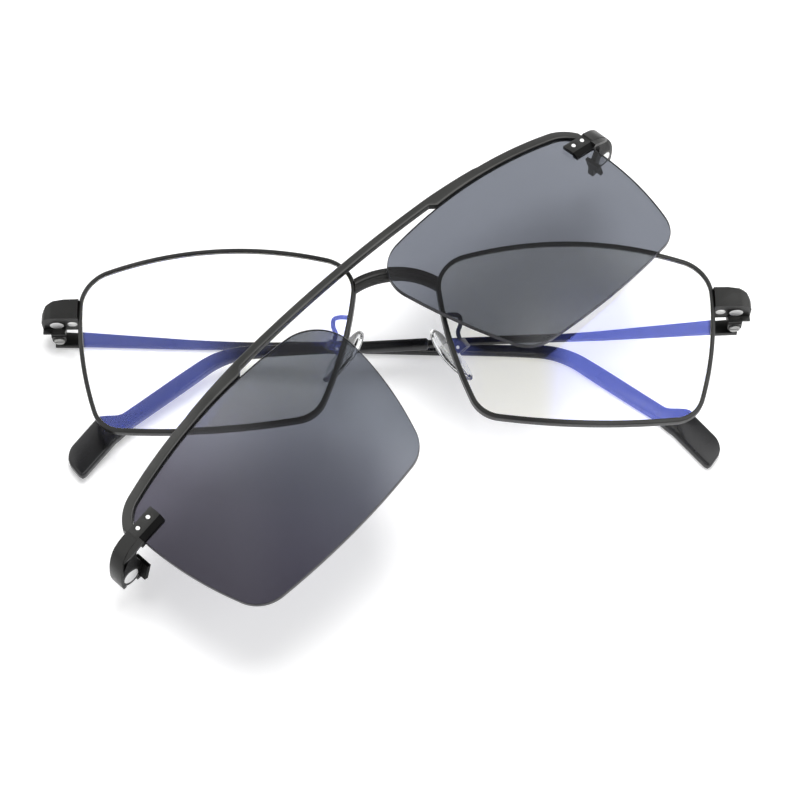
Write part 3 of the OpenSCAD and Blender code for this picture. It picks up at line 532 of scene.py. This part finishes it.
BAR_SEAT, BAR_ROUND, BAR_TAIL_TURN, BAR_TAIL_TAPER = 0.02, 0.42, 7, 0.55
SHOULDER_STEPS, SHOULDER_LEAD, BAR_STEP, JOIN_STEP = 16, 2, 1.2, 1.0
BAR_GAP, MIDDLE_GAP, SLACK = 0.6, 0.5, 0.01


def clip_xyz(p):
    """Where p of the right clip lens's plane lies on its curved middle, in the clip's frame."""
    s = sag(CLIP_R, p)
    w = math.radians(CLIP_WRAP)
    return Vector((CLIP_X + p.x * math.cos(w) - s * math.sin(w),
                   p.x * math.sin(w) + s * math.cos(w), p.y))


def top_edge(u, grow):
    centre, r = CLIP_FORM[0][1]
    return Vector((u, centre.y + math.sqrt((r + grow) ** 2 - (u - centre.x) ** 2)))


def clip_bar():
    out, inn = CLIP_GROW + BAR_W, CLIP_GROW + BAR_SEAT
    join = clip_xyz(top_edge(BAR_JOIN_U, out))

    def arch_z(x):
        return top_edge(BAR_JOIN_U, out).y + BAR_RISE * (1 - (x / join.x) ** 2)

    shoulder, r = CLIP_FORM[1][1], CLIP_SHOULDER_R
    start = math.asin((BAR_END_Z - shoulder.y) / (r + inn))
    end = angle(shoulder - CLIP_FORM[0][1][0])
    pairs = []
    # The end goes on behind the bracket's plate, and gets narrower there
    for k in (3, 2, 1):
        a = start - math.radians(BAR_TAIL_TURN * k)
        away = Vector((math.cos(a), math.sin(a)))
        pairs.append([clip_xyz(shoulder + (r + g) * away)
                      for g in (out - BAR_TAIL_TAPER * k, inn)])
    for j in range(SHOULDER_STEPS + 1):
        a = start + (end - start) * j / SHOULDER_STEPS
        away = Vector((math.cos(a), math.sin(a)))
        pairs.append([clip_xyz(shoulder + (r + g) * away) for g in (out, inn)])
    u = shoulder.x + r * math.cos(end) - SHOULDER_LEAD
    while u > BAR_JOIN_U + BAR_GAP:
        pairs.append([clip_xyz(top_edge(u, g)) for g in (out, inn)])
        u -= BAR_STEP
    u = BAR_JOIN_U
    while u >= BAR_STEP_U - SLACK:
        p = clip_xyz(top_edge(u, inn))
        pairs.append([Vector((p.x, p.y, arch_z(p.x))), p])
        u -= JOIN_STEP
    step = clip_xyz(top_edge(BAR_STEP_U, inn))
    x = step.x - BAR_GAP
    while x > MIDDLE_GAP:
        pairs.append([Vector((x, step.y, arch_z(x) - d)) for d in (0, BAR_MID_W)])
        x -= BAR_STEP
    pairs.append([Vector((0, step.y, arch_z(0) - d)) for d in (0, BAR_MID_W)])
    flip = Vector((-1, 1, 1))
    pairs += [[o * flip, i * flip] for o, i in reversed(pairs[:-1])]
    rings = []
    for o, i in pairs:
        mid, across = (o + i) / 2, i - o
        section = rounded_rect(BAR_D, -across.length / 2, across.length / 2, BAR_ROUND, 5)
        rings.append([mid + across.normalized() * v + Vector((0, u - BAR_FRONT, 0))
                      for u, v in section])
    points, faces = loft(rings, False)
    mesh = to_mesh("clip_bar", points, faces, CLIP_REST, sharp=38)
    paint(add_object("clip_bar_rod", mesh, "clip", ["clip_bar"]), BAR_METAL)


# Small forms of the clip's brackets

PLATE_IN, PLATE_OUT, PLATE_Z = LENS_CORNER_X - 4.55, LENS_CORNER_X + 1.5, 9.1
LIP_SECTION = ((-1.42, 0.10), (-1.42, 0.0), (-0.80, -1.1), (0.55, -1.1), (0.55, 0.10))
LIP_STEPS = 12
BAND_LOW = ((1.0, 4.8, 1.15), (2.2, 5.4, 1.15), (3.7, 6.1, 1.15), (5.3, 7.4, 0.8), (6.5, 9.4, 0.1))
BAND_TOP_Z, BAND_HALF = 9.3, 0.36
LUG_PLATE = ((2.6, 6.0), (5.0, 7.5), (6.3, 9.5), (6.7, 11.5), (5.0, 11.6), (3.2, 12.2), (2.0, 12.2),
             (2.2, 11.0), (3.0, 9.0), (3.0, 7.4))
LUG_LOW, LUG_HIGH = 8.2, 9.35
HOOK_PLATE = ((1.2, 12.0), (2.0, 11.9), (3.2, 15.4), (2.4, 15.6))
HOOK_LOW, HOOK_HIGH = 6.75, 10.3


def clamp_lip(side, label):
    """The folded lower edge of a bracket's clamp, which follows the lens, in the near-black copy of the
    gunmetal that carries painted shade.
    """
    rings = []
    for k in range(LIP_STEPS + 1):
        x = PLATE_IN + (PLATE_OUT - PLATE_IN) * k / LIP_STEPS
        y = clip_xyz(Vector(((x - CLIP_X) / math.cos(math.radians(CLIP_WRAP)), PLATE_Z))).y
        rings.append([(x, y + d, PLATE_Z + h) for d, h in LIP_SECTION])
    points, faces = loft(rings, False)
    mesh = to_mesh("clamp_lip_" + label, points, faces, CLIP_REST @ on_side(side), sharp=25)
    paint(add_object("clamp_lip_" + label, mesh, "clip"), SHADED_GUNMETAL)


def slab(name, corners, low, high, side):
    """A flat piece of the clip with these corners, seen from above when worn, in the near-black copy of
    the gunmetal that carries painted shade.
    """
    rings = [[(LENS_CORNER_X + x, y, z) for x, y in corners] for z in (low, high)]
    points, faces = loft(rings, False)
    mesh = to_mesh(name, points, faces, CLIP_REST @ on_side(side), sharp=25)
    paint(add_object(name, mesh, "clip"), SHADED_GUNMETAL)


def band_low(side, label):
    """The lower side of a bracket's band, from the lens to the lug."""
    rings = []
    for k, (x, y, w) in enumerate(BAND_LOW):
        a, b = BAND_LOW[max(k - 1, 0)], BAND_LOW[min(k + 1, len(BAND_LOW) - 1)]
        along = Vector((b[0] - a[0], b[1] - a[1])).normalized()
        n = Vector((-along.y, along.x)) * BAND_HALF
        rings.append([(LENS_CORNER_X + x + d * n.x, y + d * n.y, z)
                      for d, z in ((-1, BAND_TOP_Z), (1, BAND_TOP_Z),
                                   (1, PLATE_Z - w), (-1, PLATE_Z - w))])
    points, faces = loft(rings, False)
    mesh = to_mesh("band_low_" + label, points, faces, CLIP_REST @ on_side(side), sharp=35)
    paint(add_object("band_low_" + label, mesh, "clip"), DARK_METAL)


# Temple tips

BEND_LEN = BEND_R * math.radians(BEND_A)
BEND_LEAD, BEND_EASE, END_CUT_UP, END_CUT_DOWN = 8, 24, 0.72, 0.5
SLEEVE_LIP, SLEEVE_PULL, END_LIP, TIP_ROUND = 0.4, 0.3, 0.35, 0.5
TIP_STEP, END_STEP, END_STEPS, END_PART = 0.9, 0.3, 19, 6


def temple_at(s):
    """Place along, height and slope of the temple's middle line at s."""
    if s < BEND_S:
        return s, 0.0, 0.0
    if s < BEND_S + BEND_LEN:
        a = (s - BEND_S) / BEND_R
        return BEND_S + BEND_R * math.sin(a), BEND_R * (math.cos(a) - 1), a
    a, e = math.radians(BEND_A), s - BEND_S - BEND_LEN
    return (BEND_S + BEND_R * math.sin(a) + e * math.cos(a),
            BEND_R * (math.cos(a) - 1) - e * math.sin(a), a)


def clamp01(t):
    return max(0.0, min(1.0, t))


def ease(t):
    t = clamp01(t)
    return t * t * (3 - 2 * t)


def tip_reach(s):
    """Reach above and below the middle line at s: the paddle widens, sinks and ends round."""
    half = (TIP_H + (TIP_BEND_H - TIP_H) * ease((s - BEND_S + BEND_LEAD) / BEND_EASE)) / 2
    paddle = ease((s - PADDLE_S) / PADDLE_TURN)
    turned = PADDLE_S + PADDLE_TURN
    sink = PADDLE_SINK * clamp01((s - turned) / (TEMPLE_L - turned))

    def end(r, cut):
        return math.sqrt(1 - cut * clamp01((s - TEMPLE_L + r) / r) ** 2)

    up = (half + PADDLE_RISE * paddle) * end(TIP_END_R, END_CUT_UP) - sink
    return up, (half + PADDLE_FALL * paddle) * end(TIP_END_R / 2, END_CUT_DOWN) + sink


def temple_tip(side, label):
    stations = [SLEEVE_S, SLEEVE_S + 0.15, SLEEVE_S + SLEEVE_LIP]
    s = SLEEVE_S + 1.0
    while s < TEMPLE_L - END_PART:
        stations.append(s)
        s += TIP_STEP
    stations += [TEMPLE_L - END_PART + k * END_STEP for k in range(END_STEPS)]
    stations += [TEMPLE_L - END_LIP, TEMPLE_L - 0.12, TEMPLE_L]
    rings = []
    for s in stations:
        along, height, slope = temple_at(s)
        up, down = tip_reach(s)
        pull = (SLEEVE_PULL * max(0.0, 1 - (s - SLEEVE_S) / SLEEVE_LIP)
                + END_LIP * max(0.0, 1 - (TEMPLE_L - s) / END_LIP))
        section = rounded_rect(TIP_T - 2 * pull, -down + pull, up - pull, TIP_ROUND, 4)
        rings.append([(along + h * math.sin(slope), ARM_MID + t, height + h * math.cos(slope))
                      for t, h in section])
    points, faces = loft(rings, False)
    mesh = to_mesh("temple_tip_" + label, points, faces, folded(side), sharp=50)
    ob = add_object("temple_sleeve_" + label, mesh, "temple_" + label,
                    ["temple_tip_" + label])
    paint(ob, BLACK_TIP)


# Nose pads

PAD_FOOT_Z = 4.4
NOSE_CENTRE, NOSE_R = RIM_FORM[0][2]
PAD_FOOT_U = NOSE_CENTRE.x - math.sqrt(NOSE_R ** 2 - (PAD_FOOT_Z - NOSE_CENTRE.y) ** 2)
PAD_ASIDE, PAD_Y, PAD_Z = 1.1, 8.4, -1.3
PAD_C = Vector((LENS_X + PAD_FOOT_U * math.cos(math.radians(WRAP)) + PAD_ASIDE, PAD_Y, PAD_Z))
PAD_A = Vector((0.58, 0.15, -0.80)).normalized()
PAD_FACING = Vector((-0.72, 0.60, -0.41))
PAD_N = PAD_A.cross(PAD_FACING).cross(PAD_A).normalized()
PAD_B = PAD_N.cross(PAD_A)
PAD_FRAME = Matrix((PAD_A, PAD_B, PAD_N)).transposed().to_4x4()
PAD_AROUND, PAD_ACROSS, PAD_POLE = 56, 14, 88
PAD_EDGE_POWER, PAD_FACE_POWER, PAD_TAPER, PAD_DISH = 0.42, 0.8, 0.12, 60
INSERT_OUTLINE = ((-2.6, 0.45), (-2.3, 0.75), (-1.6, 1.0), (1.6, 1.0), (2.3, 0.75), (2.6, 0.45))
INSERT_T, INSERT_HALF, INSERT_ROUND, INSERT_SINK = 0.5, 1.4, 0.2, 0.15
TONGUE_W, TONGUE_HALF, TONGUE_TOP, TONGUE_OVER, TONGUE_ROUND = 1.0, 0.75, -0.3, 0.75, 0.3


def at_pad(side):
    return LIE @ on_side(side) @ shift(*PAD_C) @ PAD_FRAME


def nose_pad(side, label):
    rings = []
    for k in range(PAD_ACROSS + 1):
        phi = math.radians(-PAD_POLE + 2 * PAD_POLE * k / PAD_ACROSS)
        wide = math.cos(phi) ** PAD_EDGE_POWER
        lift = PAD_T / 2 * math.copysign(abs(math.sin(phi)) ** PAD_FACE_POWER, phi)
        ring = []
        for j in range(PAD_AROUND):
            a = 2 * math.pi * j / PAD_AROUND
            x = PAD_L / 2 * math.cos(a) * wide
            y = PAD_W / 2 * math.sin(a) * (1 - PAD_TAPER * math.cos(a)) * wide
            ring.append((x, y, lift - (x * x / PAD_DISH + y * y / PAD_DISH) * 0.5))
        rings.append(ring)
    points, faces = loft(rings, False)
    mesh = to_mesh("nose_pad_" + label, points, faces, at_pad(side), sharp=60)
    ob = add_object("nose_pad_soft_" + label, mesh, "pad_" + label,
                    ["nose_pad_" + label])
    paint(ob, CLEAR_PAD)


def pad_insert(side, label):
    """The metal plate inside a pad."""
    section = rounded_rect(INSERT_T, -INSERT_HALF, INSERT_HALF, INSERT_ROUND, 3)
    rings = [[(x, h * f, t - INSERT_SINK) for t, h in section] for x, f in INSERT_OUTLINE]
    points, faces = loft(rings, False)
    mesh = to_mesh("pad_insert_" + label, points, faces, at_pad(side), sharp=40)
    paint(add_object("pad_insert_" + label, mesh, "pad_" + label), INSERT)


def pad_tongue(side, label):
    """The metal tongue that joins a pad's plate to its pin."""
    tongue = rounded_rect(TONGUE_W, -PAD_PIN_BACK - TONGUE_OVER, TONGUE_TOP, TONGUE_ROUND, 3)
    rings = [[(x, t, h) for t, h in tongue] for x in (-TONGUE_HALF, TONGUE_HALF)]
    points, faces = loft(rings, False)
    mesh = to_mesh("pad_tongue_" + label, points, faces, at_pad(side), sharp=40)
    paint(add_object("pad_tongue_" + label, mesh, "pad_" + label), INSERT)


# Build

for side, label in ((-1, "left"), (1, "right")):
    rim(side, label)
    demo_lens(side, label)
    clip_lens(side, label)
    temple_tip(side, label)
    nose_pad(side, label)
    pad_insert(side, label)
    pad_tongue(side, label)
    clamp_lip(side, label)
    band_low(side, label)
    slab("lug_plate_" + label, LUG_PLATE, LUG_LOW, LUG_HIGH, side)
    slab("hook_plate_" + label, HOOK_PLATE, HOOK_LOW, HOOK_HIGH, side)
    paint(dress("endpiece_" + label, "front", width=0.3, segments=4,
                stay=near_rim(side)), DARK_METAL)
    paint(dress("temple_arm_" + label, "temple_" + label, width=0.16), DARK_METAL)
    paint(dress("pad_arm_" + label, "front", width=0.06, segments=2, sharp=50),
          DARK_METAL)
    paint(dress("clip_bracket_" + label, "clip", width=0.16), DARK_METAL)
    paint(dress("lock_screw_" + label, "front", width=0.06, segments=2), BRIGHT)
    paint(dress("hinge_screw_" + label, "front", width=0.06, segments=2), DULL)
    paint(dress("pad_pin_" + label, "front", width=0.05, segments=2), BRIGHT)
    paint(dress("frame_magnet_" + label, "front", width=0.10), NICKEL)
    paint(dress("clip_magnet_" + label, "clip", width=0.10), NICKEL)
    paint(dress("clip_rivets_" + label, "clip", width=0.16, segments=4), BRIGHT)
LEFT_RIM, RIGHT_RIM = near_rim(-1), near_rim(1)
paint(dress("bridge", "front", width=0.22,
            stay=lambda co: LEFT_RIM(co) or RIGHT_RIM(co)), DARK_METAL)
clip_bar()

# Floor, world, lights and camera

FLOOR_SIZE, FLOOR_DARK, FLOOR_LIGHT = 6.0, (0.80, 0.80, 0.80), (0.81, 0.81, 0.81)
FLOOR_GLOW, FLOOR_GLOW_THROUGH, SOFT_LIGHT = 0.38, 0.44, 0.38
LAMP_SIZE, KEY_PLACE, KEY_POWER = 0.6, (-0.05, 0.3, 1.05), 10.5
FILL_PLACE, FILL_POWER = (0.7, -0.2, 0.7), 2.0


def floor():
    size = FLOOR_SIZE
    mesh = bpy.data.meshes.new("floor")
    corners = [(-size, -size, 0), (size, -size, 0), (size, size, 0), (-size, size, 0)]
    mesh.from_pydata(corners, [], [(0, 1, 2, 3)])
    ob = bpy.data.objects.new("floor", mesh)
    bpy.context.scene.collection.objects.link(ob)
    n = Nodes("pale floor")
    lit = n.add("ShaderNodeBsdfDiffuse")
    stops = [(NOISE_LOW, FLOOR_DARK), (NOISE_HIGH, FLOOR_LIGHT)]
    n.link(n.ramp(n.noise(*FLOOR_CLOUD), stops), lit.inputs["Color"])
    glow = n.add("ShaderNodeEmission")
    rays = n.add("ShaderNodeLightPath")
    seen = n.add("ShaderNodeMath", operation="MAXIMUM")
    n.link(rays.outputs["Is Camera Ray"], seen.inputs[0])
    n.link(rays.outputs["Is Glossy Ray"], seen.inputs[1])
    straight = n.add("ShaderNodeMath", operation="MULTIPLY")
    straight.inputs[1].default_value = FLOOR_GLOW
    n.link(seen.outputs[0], straight.inputs[0])
    through = n.add("ShaderNodeMath", operation="MULTIPLY")
    through.inputs[1].default_value = FLOOR_GLOW_THROUGH
    n.link(rays.outputs["Is Transmission Ray"], through.inputs[0])
    strength = n.add("ShaderNodeMath", operation="MAXIMUM")
    n.link(straight.outputs[0], strength.inputs[0])
    n.link(through.outputs[0], strength.inputs[1])
    n.link(strength.outputs[0], glow.inputs["Strength"])
    both = n.add("ShaderNodeAddShader")
    n.link(lit.outputs[0], both.inputs[0])
    n.link(glow.outputs[0], both.inputs[1])
    mesh.materials.append(n.finish(both))


def world():
    """White to the camera, soft light on the object, pale panels for gloss and glass."""
    w = bpy.data.worlds.new("studio")
    bpy.context.scene.world = w
    w.use_nodes = True
    tree = w.node_tree
    tree.nodes.clear()

    def add(kind, operation=None):
        node = tree.nodes.new(kind)
        if operation:
            node.operation = operation
        return node

    def math_node(operation, a, b):
        node = add("ShaderNodeMath", operation)
        for socket, value in zip(node.inputs, (a, b)):
            if isinstance(value, float):
                socket.default_value = value
            else:
                tree.links.new(value, socket)
        return node.outputs[0]

    def step(value, start, end, low, high):
        node = add("ShaderNodeMapRange")
        node.interpolation_type = "SMOOTHSTEP"
        for name, number in (("From Min", start), ("From Max", end),
                             ("To Min", low), ("To Max", high)):
            node.inputs[name].default_value = number
        tree.links.new(value, node.inputs["Value"])
        return node.outputs["Result"]

    out = add("ShaderNodeOutputWorld")
    back = add("ShaderNodeBackground")
    rays = add("ShaderNodeLightPath")
    coords = add("ShaderNodeTexCoord")
    parts = add("ShaderNodeSeparateXYZ")
    tree.links.new(coords.outputs["Generated"], parts.inputs[0])
    x, y, z = parts.outputs
    left_panel = step(x, start=-0.40, end=-0.20, low=1.45, high=0.0)
    right_panel = math_node("MULTIPLY", step(x, start=-0.03, end=0.11, low=0.0, high=2.9),
                            step(y, start=0.38, end=0.58, low=1.0, high=0.0))
    far_panel = step(y, start=0.28, end=0.62, low=0.10, high=1.0)
    panels = math_node("ADD", math_node("ADD", left_panel, right_panel), far_panel)
    high_up = step(z, start=0.05, end=0.30, low=0.0, high=1.0)
    raised = math_node("MULTIPLY", math_node("SUBTRACT", panels, 1.0), high_up)
    studio = math_node("ADD", raised, 1.0)
    mirrored = math_node("MAXIMUM", rays.outputs["Is Glossy Ray"],
                         rays.outputs["Is Transmission Ray"])
    plain = step(rays.outputs["Is Camera Ray"], start=0.0, end=1.0, low=SOFT_LIGHT, high=1.0)
    unseen = math_node("MULTIPLY", math_node("SUBTRACT", 1.0, mirrored), plain)
    strength = math_node("ADD", math_node("MULTIPLY", studio, mirrored), unseen)
    tree.links.new(strength, back.inputs["Strength"])
    back.inputs["Color"].default_value = (1, 1, 1, 1)
    tree.links.new(back.outputs[0], out.inputs["Surface"])


def area_light(name, place, power):
    """A square lamp that looks at the middle of the floor."""
    data = bpy.data.lights.new(name, "AREA")
    data.shape = "RECTANGLE"
    data.size, data.size_y = LAMP_SIZE, LAMP_SIZE
    data.energy = power
    ob = bpy.data.objects.new(name, data)
    ob.location = place
    ob.rotation_mode = "QUATERNION"
    ob.rotation_quaternion = (-Vector(place)).to_track_quat("-Z", "Y")
    ob.visible_glossy = False
    ob.visible_transmission = False
    bpy.context.scene.collection.objects.link(ob)


def camera():
    """A camera fitted to the photograph in the worn frame, and carried over."""
    right = Vector((0.99981, 0.0044, -0.01881))
    down = Vector((-0.01902, 0.3927, -0.91947))
    ahead = Vector((0.00334, 0.91966, 0.39271))
    place = Vector((-1.31, -446.00, -204.62))
    turned = LIE.to_3x3()
    data = bpy.data.cameras.new("camera")
    data.sensor_width = 36.0
    data.lens = 112.5
    data.clip_start, data.clip_end = 0.01, 50.0
    ob = bpy.data.objects.new("camera", data)
    axes = Matrix((turned @ right, -(turned @ down), -(turned @ ahead))).transposed()
    ob.matrix_world = Matrix.Translation((LIE @ place) * MM) @ axes.to_4x4()
    bpy.context.scene.collection.objects.link(ob)
    bpy.context.scene.camera = ob


floor()
world()
area_light("key", KEY_PLACE, KEY_POWER)
area_light("fill", FILL_PLACE, FILL_POWER)
camera()
bpy.context.scene.view_settings.view_transform = "Standard"
